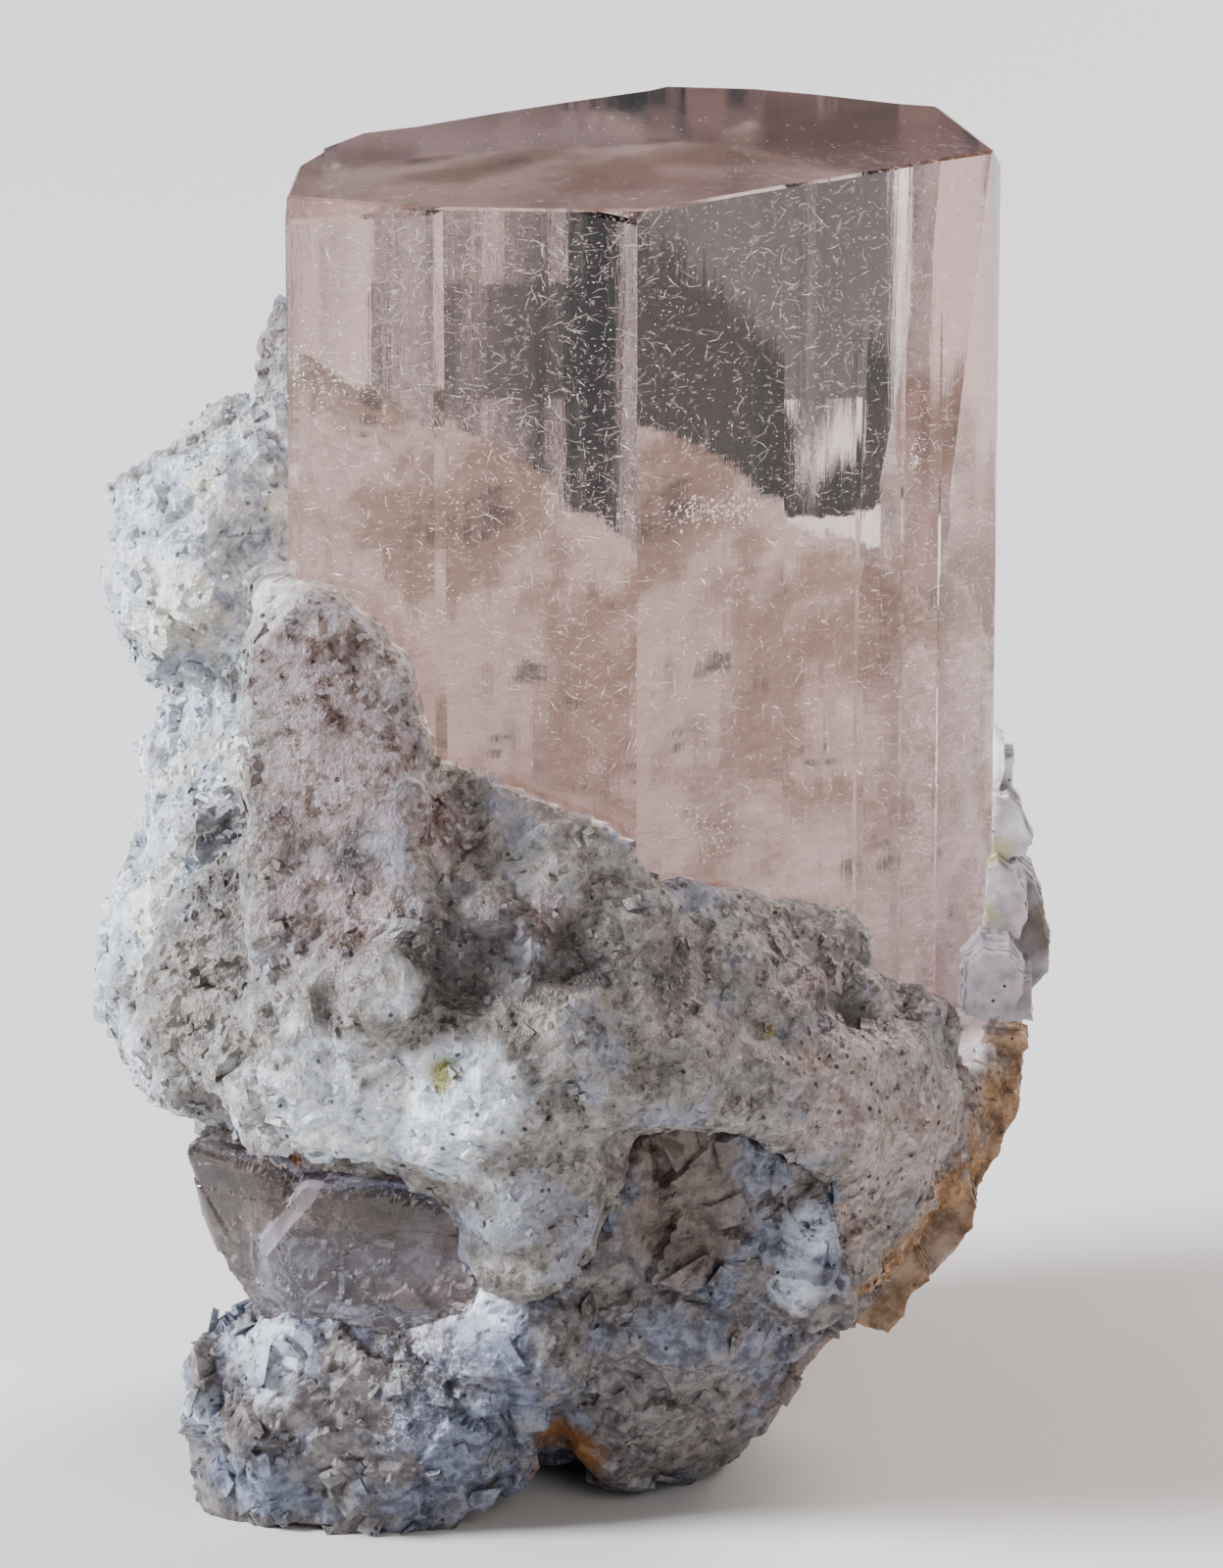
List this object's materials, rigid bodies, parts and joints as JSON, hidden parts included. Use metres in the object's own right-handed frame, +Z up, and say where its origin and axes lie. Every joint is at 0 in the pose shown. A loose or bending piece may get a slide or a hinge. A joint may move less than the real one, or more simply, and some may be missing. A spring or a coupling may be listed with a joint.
{
  "type": "topaz crystal specimen",
  "caption": "Flat-topped prism of clear pink topaz standing in a rough feldspar and quartz matrix, as a loose mineral specimen.",
  "frame": {"origin": "on the ground, under the middle of the specimen's box", "axes": "+Z up along the crystal, +X to the right and +Y to the back as the crystal's front edge faces the viewer"},
  "size_m": [0.0478, 0.0464, 0.066],
  "materials": {
    "topaz": "clear pinkish, bright faces with fine upright lines",
    "feldspar": "rough, sugary, grey white with brown specks",
    "albite": "thin plates, pearly, slightly clear at the edges",
    "smoky_quartz": "grey brown glass with flat faces",
    "pale_quartz": "bluish grey glassy quartz with white veils"
  },
  "bodies": {
    "root": {"topaz_crystal": "topaz", "feldspar_matrix": "feldspar", "albite_blades": "albite", "smoky_quartz": "smoky_quartz", "quartz_base": "pale_quartz"}
  },
  "joints": []
}
